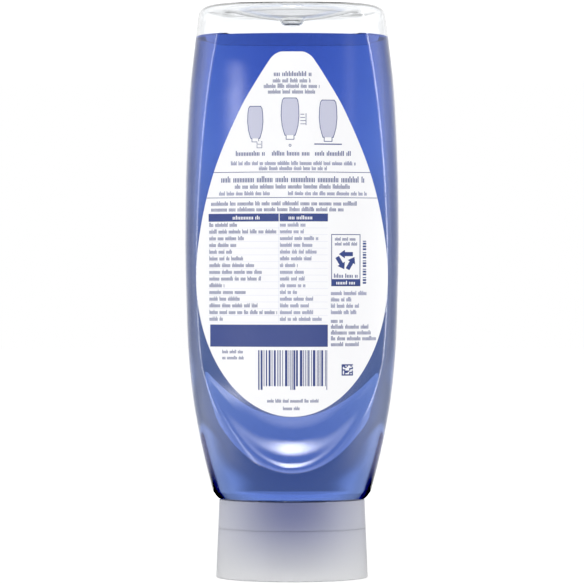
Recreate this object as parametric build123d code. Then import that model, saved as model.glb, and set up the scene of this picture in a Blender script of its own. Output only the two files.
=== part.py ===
"""Inverted squeeze bottle of dish soap, standing on its cap, in millimetres.

The origin is on the table, under the middle of the cap's foot. +Z is up and X runs along the bottle's width.
The back label faces -Y and the front label +Y. The bottle is one blow-moulded shell: an oval body with a curved
label panel sunk into its back and its front, a pushed-up base at the top, and a threaded neck that points down.
"""

import math
import os

from build123d import *

# Overall sizes.
total_height = 238.0
fill_level = 225.0

# Cap: an oval skirt that is also the foot, with a deck across it that carries the thread and the valve pipe.
cap_height = 32.7
foot_half_width = 31.75
foot_half_depth = 19.5
cap_top_half_width = 30.4
cap_top_half_depth = 18.4
cap_wall = 1.4
foot_edge_radius = 0.5
deck_top = 21.3
deck_thickness = 1.5
parting_groove_height = 0.3
parting_groove_depth = 0.2

# Neck and thread of two starts. The cap's thread runs midway between the turns of the neck's.
neck_radius = 12.7
neck_bore_radius = 10.85
mouth_clearance = 0.3
neck_flange_radius = 14.6
neck_flange_height = 1.0
thread_starts = 2
thread_lead = 6.0
thread_turns = 0.9
thread_depth = 1.2
thread_root_width = 1.6
thread_crest_width = 0.7
thread_bite = 0.3
thread_clearance = 0.35
thread_run_in = 1.6
thread_skirt_wall = 1.35
thread_skirt_gap = 0.5

# Valve pipe under the deck, the silicone valve in it and the ring that holds the valve.
pipe_bore_radius = 8.5
pipe_wall = 1.5
pipe_end = 3.0
orifice_radius = 6.3
valve_seat_thickness = 1.2
valve_clearance = 0.15
valve_flange_thickness = 1.3
valve_head_radius = 4.6
valve_head_thickness = 1.1
valve_sleeve_wall = 0.5
valve_sleeve_height = 2.6
valve_slit_length = 6.4
valve_slit_width = 0.12
retainer_height = 3.6
retainer_opening_radius = 6.6
baffle_radius = 4.8
baffle_thickness = 1.0
baffle_rise = 2.2
spoke_width = 1.4
spoke_count = 4

# Plug that seals inside the mouth.
plug_height = 2.8
plug_wall = 1.0
plug_clearance = 0.2

# Peel-off seal stuck under the pipe.
seal_thickness = 0.13
seal_margin = 0.2
seal_tab_length = 8.5
seal_tab_width = 9.0

# Bottle body. Each section is its height, half width, half depth and the power of its superellipse.
shoulder_gap = 0.5
shoulder_half_width = 30.6
shoulder_half_depth = 18.6
shoulder_power = 2.0
edge_rise = 3.0
edge_half_width = 33.1
edge_half_depth = 20.6
edge_power = 2.05
body_sections = (
    (47.0, 35.9, 22.0, 2.15),
    (60.0, 38.8, 22.9, 2.25),
    (75.0, 41.4, 23.8, 2.4),
    (95.0, 43.4, 24.9, 2.65),
    (120.0, 44.3, 26.0, 2.85),
    (143.5, 44.65, 27.2, 2.9),
    (175.0, 44.1, 28.8, 2.9),
    (205.0, 42.5, 30.2, 2.9),
    (227.0, 40.1, 31.2, 2.9),
)
top_half_width = 39.1
top_half_depth = 31.4
top_power = 2.9
top_edge_radius = 3.5
rim_steps = 5
wall = 0.6
base_wall = 1.0
section_points = 40

# Label panel: a cylinder of large radius, leaning outwards towards the base, with a sloping ledge at its lower end.
panel_radius = 106.0
panel_foot_height = 56.5
panel_foot_depth = 20.0
panel_lean = 0.058
ledge_slope = 0.2
cutter_reach = 60.0

# Pushed-up base: each step is the depth under the rim and the half width and half depth there.
push_up_steps = (
    (-1.2, 30.4, 21.9),
    (0.0, 27.0, 19.0),
    (1.3, 22.0, 15.2),
    (2.5, 16.0, 11.0),
    (3.6, 9.0, 6.5),
)
gate_rim_radius = 5.2
gate_tip_radius = 3.6
gate_depth = 6.1

# Liquid.
liquid_clearance = 0.2

# Back label: an egg outline, its flat top with round corners, its flank and its half-elliptical lower end.
label_thickness = 0.1
glue_gap = 0.02
label_top = 217.5
label_top_half_width = 6.9
label_top_corner = 3.0
label_top_flare = 0.66
label_flank_height = 170.0
label_flank_half_width = 31.6
label_widest_height = 125.2
label_half_width = 39.5
label_bottom = 68.2

# Front label: an oval.
front_label_height = 140.0
front_label_half_width = 25.5
front_label_half_height = 54.0

# Places that follow from the sizes above.
mouth_height = deck_top + mouth_clearance
flange_low = cap_height - neck_flange_height
shoulder_end = cap_height + shoulder_gap
edge_height = shoulder_end + edge_rise
thread_skirt_bore = neck_radius + thread_depth + thread_clearance
thread_skirt_top = flange_low - thread_skirt_gap
thread_low = mouth_height + thread_run_in
half_pitch = thread_lead / thread_starts / 2
pipe_radius = pipe_bore_radius + pipe_wall
plug_radius = neck_bore_radius - plug_clearance
plug_top = deck_top + plug_height
passage_radius = min(pipe_bore_radius, plug_radius - plug_wall)
valve_low = pipe_end + valve_seat_thickness + valve_clearance
valve_flange_top = valve_low + valve_flange_thickness
fit_radius = pipe_bore_radius - valve_clearance
retainer_low = valve_flange_top + valve_clearance
retainer_top = retainer_low + retainer_height
baffle_top = retainer_top + baffle_rise + baffle_thickness


def superellipse(height, half_width, half_depth, power):
    """Closed outline |x/a|^n + |y/b|^n = 1 at a height, as a face."""
    points = []
    for index in range(section_points):
        angle = 2 * math.pi * index / section_points
        c, s = math.cos(angle), math.sin(angle)
        x = half_width * math.copysign(abs(c) ** (2 / power), c)
        y = half_depth * math.copysign(abs(s) ** (2 / power), s)
        points.append((x, y, height))
    return make_face(Spline(*points, periodic=True))


def ellipse(height, half_width, half_depth):
    """Elliptical face at a height."""
    return Pos(0, 0, height) * Ellipse(half_width, half_depth)


def rod(radius, low, high):
    """Round rod about the Z axis between two heights."""
    return Pos(0, 0, (low + high) / 2) * Cylinder(radius, high - low)


def tube(outer_radius, inner_radius, low, high):
    """Round tube about the Z axis between two heights."""
    return rod(outer_radius, low, high) - rod(inner_radius, low, high)


def slab(low, high):
    """Everything between two heights."""
    return Pos(0, 0, (low + high) / 2) * Box(4 * cutter_reach, 4 * cutter_reach, high - low)


def threads(radius, rise, low):
    """Helical ribs on a wall of a radius, which stand out from it by the rise, or into it if that is negative."""
    bite = math.copysign(thread_bite, rise)
    half_root, half_crest = thread_root_width / 2, thread_crest_width / 2
    profile = Plane.XZ * Polygon(
        (radius - bite, -half_root),
        (radius + rise, -half_crest),
        (radius + rise, half_crest),
        (radius - bite, half_root),
        align=None,
    )
    path = Helix(pitch=thread_lead, height=thread_lead * thread_turns, radius=radius)
    rib = sweep(profile, path, is_frenet=True)
    return [Pos(0, 0, low) * Rot(0, 0, 360 * start / thread_starts) * rib for start in range(thread_starts)]


def panel_cylinder(inset, growth=0.0):
    """Leaning cylinder whose skin is the back panel, moved into the body by an inset and grown by a thickness."""
    axis_y = panel_radius - panel_foot_depth + inset
    lean = math.degrees(math.atan(panel_lean))
    skin = Cylinder(panel_radius + growth, 3 * total_height)
    return Pos(0, axis_y, panel_foot_height) * Rot(lean, 0, 0) * skin


def panel_cutter(inset):
    """What is taken off the back of the body: all that lies in front of both the panel and the ledge."""
    front = Pos(0, -cutter_reach / 2, total_height / 2) * Box(4 * cutter_reach, cutter_reach, 2 * total_height)
    ledge_angle = math.degrees(math.atan(ledge_slope))
    behind_ledge = Pos(0, cutter_reach, 0) * Box(6 * cutter_reach, 2 * cutter_reach, 4 * total_height)
    behind_ledge = Pos(0, inset - panel_foot_depth, panel_foot_height) * Rot(-ledge_angle, 0, 0) * behind_ledge
    return front - panel_cylinder(inset) - behind_ledge


def push_up(growth):
    """The hollow of the pushed-up base with the gate's nub at its middle, grown by a thickness."""
    steps = [
        ellipse(total_height - depth - growth, half_width + growth, half_depth + growth)
        for depth, half_width, half_depth in push_up_steps
    ]
    nub_low = total_height - gate_depth - growth
    nub_high = total_height - push_up_steps[-1][0]
    nub = Cone(gate_tip_radius + growth, gate_rim_radius + growth, nub_high - nub_low)
    return loft(steps) + Pos(0, 0, (nub_low + nub_high) / 2) * nub


def rim(inset, base_inset):
    """Rounded edge round the top of the body, as sections up a quarter circle."""
    radius = top_edge_radius - inset
    sections = []
    for index in range(rim_steps + 1):
        angle = math.pi / 2 * index / rim_steps
        height = total_height - base_inset - radius * (1 - math.sin(angle))
        pull = inset + radius * (1 - math.cos(angle))
        sections.append(superellipse(height, top_half_width - pull, top_half_depth - pull, top_power))
    return loft(sections)


def body(inset, base_inset):
    """Shape of the blown body between shoulder and base, without its neck, moved inwards by the two insets."""
    edge = superellipse(edge_height, edge_half_width - inset, edge_half_depth - inset, edge_power)
    sections = [edge]
    for height, half_width, half_depth, power in body_sections:
        sections.append(superellipse(height, half_width - inset, half_depth - inset, power))
    top_edge = rim(inset, base_inset)
    sections.append(top_edge.faces().sort_by(Axis.Z)[0])
    shape = loft(sections) + top_edge
    foot = superellipse(
        shoulder_end + inset, shoulder_half_width - inset, shoulder_half_depth - inset, shoulder_power
    )
    shape += loft([foot, edge], ruled=True)
    back = panel_cutter(inset)
    return shape - back - mirror(back, about=Plane.XZ) - push_up(base_inset)


def bottle():
    """Blow-moulded shell with its neck, flange and thread."""
    neck_top = shoulder_end + wall
    shell = body(0, 0) + rod(neck_radius, mouth_height, neck_top)
    shell += rod(neck_flange_radius, flange_low, cap_height)
    shell -= body(wall, base_wall)
    shell -= rod(neck_bore_radius, mouth_height, neck_top)
    return shell + threads(neck_radius, thread_depth, thread_low)


def dish_liquid():
    """The liquid up to its level, down through the neck and into the valve pipe."""
    inset = wall + liquid_clearance
    pool = body(inset, base_wall) & slab(0, fill_level)
    pool += rod(neck_bore_radius - liquid_clearance, plug_top + mouth_clearance, edge_height)
    pool += rod(pipe_bore_radius - liquid_clearance, baffle_top + mouth_clearance, deck_top - liquid_clearance)
    pool += rod(passage_radius - liquid_clearance, baffle_top + mouth_clearance, edge_height)
    return pool


def egg_outline():
    """Egg outline of the back label, as a face in the XZ plane."""
    top_corner = (label_top_half_width, label_top)
    flank = (label_flank_half_width, label_flank_height)
    widest = (label_half_width, label_widest_height)
    top = Line((0, label_top), top_corner)
    side = Spline(top_corner, flank, widest, tangents=((label_top_flare, -1), (0, -1)))
    lower_height = label_widest_height - label_bottom
    centre = (0, label_widest_height)
    lower = EllipticalCenterArc(centre, label_half_width, lower_height, start_angle=-90, arc_size=90)
    half = [top, side, lower]
    outline = make_face(half + [mirror(piece, about=Plane.YZ) for piece in half])
    corners = outline.vertices().filter_by(lambda corner: abs(corner.X) > 1).group_by(Axis.Y)[-1]
    return Plane.XZ * fillet(corners, label_top_corner)


def label(outline):
    """Thin label of an outline, lying on the back panel."""
    prism = extrude(outline, amount=cutter_reach)
    return prism & (panel_cylinder(0, glue_gap + label_thickness) - panel_cylinder(0, glue_gap))


def cap():
    """Oval skirt with its deck, thread skirt, plug ring and valve pipe."""
    skirt = loft(
        [
            ellipse(0, foot_half_width, foot_half_depth),
            ellipse(cap_height, cap_top_half_width, cap_top_half_depth),
        ],
        ruled=True,
    )
    hollow = loft(
        [
            ellipse(0, foot_half_width - cap_wall, foot_half_depth - cap_wall),
            ellipse(cap_height, cap_top_half_width - cap_wall, cap_top_half_depth - cap_wall),
        ],
        ruled=True,
    )
    deck_low = deck_top - deck_thickness
    shell = skirt - (hollow - slab(deck_low, deck_top))
    shell = fillet(shell.edges().group_by(Axis.Z)[0], foot_edge_radius)
    groove = slab(deck_top - 2 * parting_groove_height, deck_top - parting_groove_height)
    at_deck = deck_top / cap_height
    groove_half_width = foot_half_width + (cap_top_half_width - foot_half_width) * at_deck - parting_groove_depth
    groove_half_depth = foot_half_depth + (cap_top_half_depth - foot_half_depth) * at_deck - parting_groove_depth
    groove -= extrude(Ellipse(groove_half_width, groove_half_depth), amount=cap_height)
    shell -= groove
    shell += rod(pipe_radius, pipe_end, deck_top)
    shell += tube(plug_radius, plug_radius - plug_wall, deck_top, plug_top)
    shell += tube(thread_skirt_bore + thread_skirt_wall, thread_skirt_bore, deck_top, thread_skirt_top)
    shell -= rod(orifice_radius, pipe_end, deck_top)
    shell -= rod(pipe_bore_radius, pipe_end + valve_seat_thickness, deck_top)
    return shell + threads(thread_skirt_bore, -thread_depth, thread_low + half_pitch)


def valve():
    """Silicone valve: a flange, a short sleeve and a head with two crossed slits."""
    sleeve_radius = valve_head_radius + valve_sleeve_wall
    shape = rod(fit_radius, valve_low, valve_flange_top) + rod(sleeve_radius, valve_low, valve_low + valve_sleeve_height)
    shape -= rod(valve_head_radius, valve_low + valve_head_thickness, valve_low + valve_sleeve_height)
    for long_side, short_side in ((valve_slit_length, valve_slit_width), (valve_slit_width, valve_slit_length)):
        slit = Box(long_side, short_side, 2 * valve_head_thickness)
        shape -= Pos(0, 0, valve_low + valve_head_thickness / 2) * slit
    return shape


def valve_retainer():
    """Ring pressed in over the valve, with a baffle disc on four spokes above it."""
    ring = tube(fit_radius, retainer_opening_radius, retainer_low, retainer_top)
    baffle = rod(baffle_radius, baffle_top - baffle_thickness, baffle_top)
    spoke_low = retainer_top - spoke_width
    spoke_inner = baffle_radius - spoke_width
    spoke_outer = retainer_opening_radius + spoke_width
    spoke = Box(spoke_outer - spoke_inner, spoke_width, baffle_top - spoke_low)
    spoke = Pos((spoke_outer + spoke_inner) / 2, 0, (spoke_low + baffle_top) / 2) * spoke
    spokes = [Rot(0, 0, 360 * index / spoke_count) * spoke for index in range(spoke_count)]
    return ring + baffle + spokes


def peel_seal():
    """Foil disc with a pull tab, stuck under the end of the pipe."""
    top = pipe_end - glue_gap
    disc_radius = pipe_radius - seal_margin
    tab = Pos(disc_radius + seal_tab_length / 2, 0, top - seal_thickness / 2)
    tab *= Box(seal_tab_length, seal_tab_width, seal_thickness)
    root = Pos(disc_radius / 2, 0, top - seal_thickness / 2) * Box(disc_radius, seal_tab_width, seal_thickness)
    return rod(disc_radius, top - seal_thickness, top) + root + tab


def main():
    """Build each piece and write it to its own STEP file."""
    oval = Plane.XZ * Pos(0, front_label_height) * Ellipse(front_label_half_width, front_label_half_height)
    pieces = {
        "bottle": bottle(),
        "dish_liquid": dish_liquid(),
        "back_label": label(egg_outline()),
        "front_label": mirror(label(oval), about=Plane.XZ),
        "cap": cap(),
        "valve": valve(),
        "valve_retainer": valve_retainer(),
        "peel_seal": peel_seal(),
    }
    os.makedirs("parts", exist_ok=True)
    for name, piece in pieces.items():
        export_step(piece, f"parts/{name}.step")


if __name__ == "__main__":
    main()
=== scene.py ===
"""Looks of an inverted dish soap bottle: clear shell, blue liquid, printed labels and frosted cap."""

from __future__ import annotations

import logging
import math
import random
from collections.abc import Callable, Sequence
from dataclasses import dataclass, field
from enum import Enum

import bmesh
import bpy
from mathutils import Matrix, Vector

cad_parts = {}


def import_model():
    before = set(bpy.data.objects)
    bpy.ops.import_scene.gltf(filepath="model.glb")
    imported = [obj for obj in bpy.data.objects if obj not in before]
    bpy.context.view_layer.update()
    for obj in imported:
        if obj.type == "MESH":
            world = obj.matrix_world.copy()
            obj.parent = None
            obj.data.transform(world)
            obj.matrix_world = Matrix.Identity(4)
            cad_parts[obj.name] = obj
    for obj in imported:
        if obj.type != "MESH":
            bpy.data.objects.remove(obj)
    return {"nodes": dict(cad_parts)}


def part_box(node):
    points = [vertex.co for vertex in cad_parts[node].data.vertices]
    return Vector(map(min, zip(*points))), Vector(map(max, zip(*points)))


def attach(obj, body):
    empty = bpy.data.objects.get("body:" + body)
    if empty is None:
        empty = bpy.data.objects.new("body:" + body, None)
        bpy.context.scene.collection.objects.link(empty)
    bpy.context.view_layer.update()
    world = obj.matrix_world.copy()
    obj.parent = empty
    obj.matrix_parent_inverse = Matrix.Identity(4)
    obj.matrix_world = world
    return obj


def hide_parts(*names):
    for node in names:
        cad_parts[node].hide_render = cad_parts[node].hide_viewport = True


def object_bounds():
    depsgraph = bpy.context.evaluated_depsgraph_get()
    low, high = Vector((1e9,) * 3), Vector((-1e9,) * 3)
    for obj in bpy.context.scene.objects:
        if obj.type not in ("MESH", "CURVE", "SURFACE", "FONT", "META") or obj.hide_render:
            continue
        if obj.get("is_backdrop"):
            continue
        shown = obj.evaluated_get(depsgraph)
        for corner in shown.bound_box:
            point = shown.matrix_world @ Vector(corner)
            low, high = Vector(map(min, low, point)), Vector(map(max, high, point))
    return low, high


LOG = logging.getLogger("dish_soap_bottle")
MM = 0.001
WHITE = (1.0, 1.0, 1.0, 1.0)
Colour = tuple[float, float, float]
Point = tuple[float, float]
Station = Sequence[float]
Curve = Callable[[float], float]


class Body(Enum):
    """The body that the new pieces ride on."""

    BOTTLE = "bottle_body"


class Side(Enum):
    """Which label panel a piece lies on: the sign is that of its Y."""

    BACK = -1
    FRONT = 1


class Weight(Enum):
    """Stroke width of a row of greeked text, in millimetres."""

    LIGHT = 0.2
    PLAIN = 0.27
    BOLD = 0.38


# ---------------------------------------------------------------------------------------------- Finishes


class Term:
    """A shader socket in an expression: each operator adds its Math node."""

    def __init__(self, shader: Shader, socket: bpy.types.NodeSocket) -> None:
        """Wraps a socket of a shader's tree."""
        self.shader = shader
        self.socket = socket

    def _math(self, operation: str, *values: Term | float) -> Term:
        """Adds a Math node on the given values."""
        return self.shader.node("ShaderNodeMath", {"operation": operation}, dict(enumerate(values)))

    def __add__(self, other: Term | float) -> Term:
        """Sum."""
        return self._math("ADD", self, other)

    def __radd__(self, other: float) -> Term:
        """Sum with a number first."""
        return self._math("ADD", other, self)

    def __sub__(self, other: Term | float) -> Term:
        """Difference."""
        return self._math("SUBTRACT", self, other)

    def __rsub__(self, other: float) -> Term:
        """Difference from a number."""
        return self._math("SUBTRACT", other, self)

    def __mul__(self, other: Term | float) -> Term:
        """Product."""
        return self._math("MULTIPLY", self, other)

    def __rmul__(self, other: float) -> Term:
        """Product with a number first."""
        return self._math("MULTIPLY", other, self)

    def maximum(self, other: Term | float) -> Term:
        """The larger of two."""
        return self._math("MAXIMUM", self, other)

    def absolute(self) -> Term:
        """The size without its sign."""
        return self._math("ABSOLUTE", self)

    def exponential(self) -> Term:
        """The natural exponential."""
        return self._math("EXPONENT", self)

    def above(self, bound: float) -> Term:
        """One above a bound, and nothing below it."""
        return self._math("GREATER_THAN", self, bound)

    def hill(self, middle: float, width: float) -> Term:
        """A smooth hill of height one round a middle."""
        off = (self - middle) * (1.0 / width)
        return (off * off * -1.0).exponential()

    def ramp(self, low: float, high: float) -> Term:
        """A smooth rise from nothing to one between two values."""
        inputs = {"Value": self, "From Min": low, "From Max": high, "To Min": 0.0, "To Max": 1.0}
        return self.shader.node("ShaderNodeMapRange", {"interpolation_type": "SMOOTHSTEP"}, inputs)


Way = tuple[Term, Term, Term]


class Shader:
    """One node tree, of a material or of the world, and its output."""

    def __init__(self, owner: bpy.types.Material | bpy.types.World, output: str) -> None:
        """Empties the owner's tree down to its output.

        Args:
            owner: The material or world.
            output: Type name of its output node.
        """
        self.owner = owner
        owner.use_nodes = True
        self.tree = owner.node_tree
        self.tree.nodes.clear()
        self.output = self.tree.nodes.new(output)

    @classmethod
    def of_material(cls, name: str) -> Shader:
        """Starts a new material."""
        return cls(bpy.data.materials.new(name), "ShaderNodeOutputMaterial")

    @classmethod
    def of_world(cls, name: str) -> Shader:
        """Starts a new world and makes it the scene's."""
        bpy.context.scene.world = bpy.data.worlds.new(name)
        return cls(bpy.context.scene.world, "ShaderNodeOutputWorld")

    def node(
        self, kind: str, settings: dict[str, object], inputs: dict[str | int, object], out: int | str = 0
    ) -> Term:
        """Adds a node.

        Args:
            kind: The node's type name.
            settings: Properties that are set before its sockets.
            inputs: Values or terms by socket name or index.
            out: Which output is returned.

        Returns:
            The chosen output as a term.
        """
        made = self.tree.nodes.new(kind)
        for key, value in settings.items():
            setattr(made, key, value)
        for key, value in inputs.items():
            if isinstance(value, Term):
                self.tree.links.new(value.socket, made.inputs[key])
            else:
                made.inputs[key].default_value = value
        return Term(self, made.outputs[out])

    def place(self) -> Term:
        """Object coordinates, in metres."""
        return self.node("ShaderNodeTexCoord", {}, {}, "Object")

    def axes(self, vector: Term) -> Way:
        """The three components of a vector."""
        x = self.node("ShaderNodeSeparateXYZ", {}, {0: vector})
        made = x.socket.node
        return x, Term(self, made.outputs[1]), Term(self, made.outputs[2])

    def ray_is(self, kind: str) -> Term:
        """One on rays of a kind, such as Camera."""
        return self.node("ShaderNodeLightPath", {}, {}, f"Is {kind} Ray")

    def mix(self, factor: Term, first: Term, second: Term) -> Term:
        """Mixes two surfaces by a factor."""
        return self.node("ShaderNodeMixShader", {}, {0: factor, 1: first, 2: second})

    def noise(self, scale: float, detail: float = 3.0) -> Term:
        """Noise over the piece, from 0 to 1."""
        return self.node("ShaderNodeTexNoise", {}, {"Vector": self.place(), "Scale": scale, "Detail": detail})

    def bump(self, height: Term, distance: float, strength: float = 1.0) -> Term:
        """Normal bent by a height."""
        return self.node("ShaderNodeBump", {}, {"Height": height, "Distance": distance, "Strength": strength})

    def etched(self, grain: float) -> Term:
        """Normal of a finely etched skin, by the height of its grain in metres."""
        return self.bump(self.noise(2600.0, 1.0), grain)

    def blend(self, factor: Term, first: Colour, second: Colour) -> Term:
        """Colour between two by a factor."""
        inputs = {"Factor": factor, 6: (*first, 1.0), 7: (*second, 1.0)}
        return self.node("ShaderNodeMix", {"data_type": "RGBA"}, inputs, 2)

    def plastic(self, inputs: dict[str | int, object]) -> Term:
        """Adds a Principled surface."""
        return self.node("ShaderNodeBsdfPrincipled", {}, inputs)

    def surface(self, shader: Term) -> bpy.types.Material | bpy.types.World:
        """Links the finished surface to the output."""
        self.tree.links.new(shader.socket, self.output.inputs["Surface"])
        return self.owner


@dataclass(frozen=True)
class ClearPlastic:
    """Clear blown PET with a faint waviness of its wall."""

    name: str = "clear_pet"
    colour: Colour = (0.975, 0.985, 0.995)
    roughness: float = 0.012
    index: float = 1.5
    wave_scale: float = 38.0
    wave_height: float = 0.00012

    def make(self) -> bpy.types.Material:
        """Makes the material."""
        shader = Shader.of_material(self.name)
        inputs = {
            "Base Color": (*self.colour, 1.0),
            "Roughness": self.roughness,
            "IOR": self.index,
            "Transmission Weight": 1.0,
            "Normal": shader.bump(shader.noise(self.wave_scale, 1.0), self.wave_height),
        }
        return shader.surface(shader.plastic(inputs))


@dataclass(frozen=True)
class BlueLiquid:
    """Clear blue soap that takes up light over its depth. Its skin bends light only where it meets air.

    Attributes:
        level: Height of its surface, in millimetres.
        wetted_low: Height down to which its skin lies on the shell's wall.
        level_slope: Least upward part of a normal on its surface.
    """

    level: float
    wetted_low: float = 32.9
    level_slope: float = 0.6
    name: str = "blue_liquid"
    index: float = 1.36
    depth_density: float = 62.0
    depth_colour: Colour = (0.06, 0.30, 0.765)

    def make(self) -> bpy.types.Material:
        """Makes the material."""
        shader = Shader.of_material(self.name)
        inputs = {"Base Color": WHITE, "Roughness": 0.0, "IOR": self.index, "Transmission Weight": 1.0}
        in_air = shader.plastic(inputs)
        on_wall = shader.plastic({**inputs, "IOR": 1.0})
        height = shader.axes(shader.place())[2]
        slope = shader.axes(shader.node("ShaderNodeNewGeometry", {}, {}, "True Normal"))[2].absolute()
        surface = slope.above(self.level_slope) * height.above((self.level - 1.0) * MM)
        body = shader.mix(surface.maximum(1.0 - height.above(self.wetted_low * MM)), on_wall, in_air)
        volume_inputs = {"Color": (*self.depth_colour, 1.0), "Density": self.depth_density}
        volume = shader.node("ShaderNodeVolumeAbsorption", {}, volume_inputs)
        shader.tree.links.new(volume.socket, shader.output.inputs["Volume"])
        return shader.surface(body)


@dataclass(frozen=True)
class FrostedCap:
    """Frosted natural plastic, with painted shade: the middle of its upper part is painted blue-grey for the
    neck and blue liquid that darken it from behind.
    """

    name: str = "frosted_cap"
    pale: Colour = (0.95, 0.955, 0.965)
    painted_shade_blue: Colour = (0.235, 0.265, 0.52)
    roughness: float = 0.5
    transmission: float = 0.45
    neck_reach: float = 24.0
    side_painted_shade: float = 0.15
    index: float = 1.49
    grain: float = 0.00003
    fade_low: float = -4.0
    fade_high: float = 31.0

    def make(self) -> bpy.types.Material:
        """Makes the material."""
        shader = Shader.of_material(self.name)
        x, _, z = shader.axes(shader.place())
        # Painted shade: blue-grey across the middle and less at the sides, growing towards the top, where the
        # neck stands behind the cap.
        behind = x.hill(0.0, self.neck_reach * MM) * (1.0 - self.side_painted_shade) + self.side_painted_shade
        factor = behind * z.ramp(self.fade_low * MM, self.fade_high * MM)
        inputs = {
            "Base Color": shader.blend(factor, self.pale, self.painted_shade_blue),
            "Roughness": self.roughness,
            "IOR": self.index,
            "Transmission Weight": self.transmission,
            "Normal": shader.etched(self.grain),
        }
        return shader.surface(shader.plastic(inputs))


@dataclass(frozen=True)
class Moulded:
    """Moulded plastic or film: translucent where transmission is above 0, with a fine etched skin.

    The glow is painted light: an even glow that stands in for the light that soaks through a film from its
    other side.
    """

    name: str
    colour: Colour
    shade: Colour
    roughness: float
    transmission: float = 0.0
    metallic: float = 0.0
    glow: float = 0.0
    grain: float = 0.00003
    index: float = 1.49
    wear: float = 0.06

    def make(self) -> bpy.types.Material:
        """Makes the material."""
        shader = Shader.of_material(self.name)
        tone = shader.blend(shader.noise(55.0), self.colour, self.shade)
        inputs = {
            "Base Color": tone,
            "Roughness": self.roughness + self.wear * (shader.noise(420.0) - 0.5),
            "IOR": self.index,
            "Metallic": self.metallic,
            "Transmission Weight": self.transmission,
            "Emission Color": WHITE,
            "Emission Strength": self.glow,
            "Normal": shader.etched(self.grain),
        }
        return shader.surface(shader.plastic(inputs))


class Look(Enum):
    """The looks of the object, each the finish of one material."""

    CLEAR = ClearPlastic()
    WETTED = ClearPlastic("wetted_pet", (1.0, 1.0, 1.0), 0.0, 1.5 / 1.36)
    FILM = Moulded("label_film", (0.9, 0.9, 0.91), (0.88, 0.88, 0.895), 0.32)
    # The film's inner side glows with painted light, for light that soaks through the film.
    FILM_BACK = Moulded("label_film_back_painted_glow", (0.8, 0.8, 0.81), (0.78, 0.78, 0.79), 0.5, glow=0.5)
    DARK_INK = Moulded("dark_ink", (0.019, 0.041, 0.195), (0.022, 0.047, 0.21), 0.35)
    LIGHT_INK = Moulded("light_ink", (0.06, 0.085, 0.27), (0.07, 0.095, 0.28), 0.35)
    GREY_INK = Moulded("grey_ink", (0.54, 0.55, 0.67), (0.52, 0.53, 0.66), 0.35)
    PALE_INK = Moulded("pale_ink", (0.74, 0.75, 0.83), (0.72, 0.73, 0.82), 0.35)
    WHITE_INK = Moulded("white_ink", (0.9, 0.9, 0.91), (0.88, 0.88, 0.9), 0.35)
    CAP = FrostedCap()
    SILICONE = Moulded("silicone", (0.82, 0.84, 0.86), (0.79, 0.81, 0.84), 0.4, 0.35)
    RETAINER = Moulded("retainer_plastic", (0.8, 0.81, 0.83), (0.77, 0.78, 0.81), 0.42, 0.3)
    FOIL = Moulded("seal_foil", (0.78, 0.79, 0.8), (0.72, 0.73, 0.75), 0.3, metallic=0.9)


Materials = dict[Look, bpy.types.Material]


# ------------------------------------------------------------------------------------------------- Shapes


def smooth_least(first: float, second: float, width: float) -> float:
    """The smaller of two numbers, rounded over a width where they cross."""
    overlap = max(width - abs(first - second), 0.0) / width
    return min(first, second) - overlap * overlap * width / 4


def smooth_most(first: float, second: float, width: float) -> float:
    """The larger of two numbers, rounded over a width where they cross."""
    return -smooth_least(-first, -second, width)


def curve_through(points: Sequence[Station], steps: int) -> list[list[float]]:
    """Samples a smooth curve through points.

    Args:
        points: Points of any dimension, the first two spaced as they are apart.
        steps: How many samples, the two ends included.

    Returns:
        The samples, spread evenly over the curve's chord length.
    """
    knots = [0.0]
    for before, after in zip(points, points[1:]):
        knots.append(knots[-1] + max(math.dist(before[:3], after[:3]), 1e-6))
    slopes = []
    last = len(points) - 1
    for index in range(len(points)):
        low, high = max(index - 1, 0), min(index + 1, last)
        span = knots[high] - knots[low]
        slopes.append([(b - a) / span for a, b in zip(points[low], points[high])])
    samples = []
    piece = 0
    for step in range(steps):
        along = knots[-1] * step / (steps - 1)
        while piece < last - 1 and along > knots[piece + 1]:
            piece += 1
        span = knots[piece + 1] - knots[piece]
        t = (along - knots[piece]) / span
        h00, h10 = (1 + 2 * t) * (1 - t) ** 2, t * (1 - t) ** 2
        h01, h11 = t * t * (3 - 2 * t), t * t * (t - 1)
        values = zip(points[piece], points[piece + 1], slopes[piece], slopes[piece + 1])
        samples.append([h00 * a + h10 * span * ma + h01 * b + h11 * span * mb for a, b, ma, mb in values])
    return samples


def start_fresh() -> None:
    """Deselects everything, so that an operator acts on its own piece alone."""
    bpy.ops.object.select_all(action="DESELECT")


def pick(*pieces: bpy.types.Object) -> None:
    """Selects pieces alone.

    Args:
        pieces: The pieces, the last of which becomes the active one.
    """
    start_fresh()
    for piece in pieces:
        piece.select_set(True)
    bpy.context.view_layer.objects.active = pieces[-1]


def edit_all(piece: bpy.types.Object, operator: Callable[[], object]) -> None:
    """Runs an operator on the whole of a piece's mesh.

    Args:
        piece: The piece.
        operator: What is run in edit mode, with everything selected.
    """
    pick(piece)
    bpy.ops.object.mode_set(mode="EDIT")
    bpy.ops.mesh.select_all(action="SELECT")
    operator()
    bpy.ops.object.mode_set(mode="OBJECT")


def finish_mesh(piece: bpy.types.Object, name: str, material: bpy.types.Material, angle: float = 35.0) -> None:
    """Names a piece, gives it its material and smooths it.

    Args:
        piece: The piece.
        name: Its name and its mesh's.
        material: Its only material.
        angle: The angle in degrees above which an edge stays sharp.
    """
    piece.name = name
    piece.data.name = name
    piece.data.materials.clear()
    piece.data.materials.append(material)
    pick(piece)
    bpy.ops.object.shade_smooth_by_angle(angle=math.radians(angle))


def apply_modifiers(piece: bpy.types.Object) -> None:
    """Applies all modifiers of a piece, in order."""
    pick(piece)
    for modifier in list(piece.modifiers):
        bpy.ops.object.modifier_apply(modifier=modifier.name)


def face_outwards(piece: bpy.types.Object) -> None:
    """Recalculates a closed piece's normals to point outwards."""
    edit_all(piece, lambda: bpy.ops.mesh.normals_make_consistent(inside=False))


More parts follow.
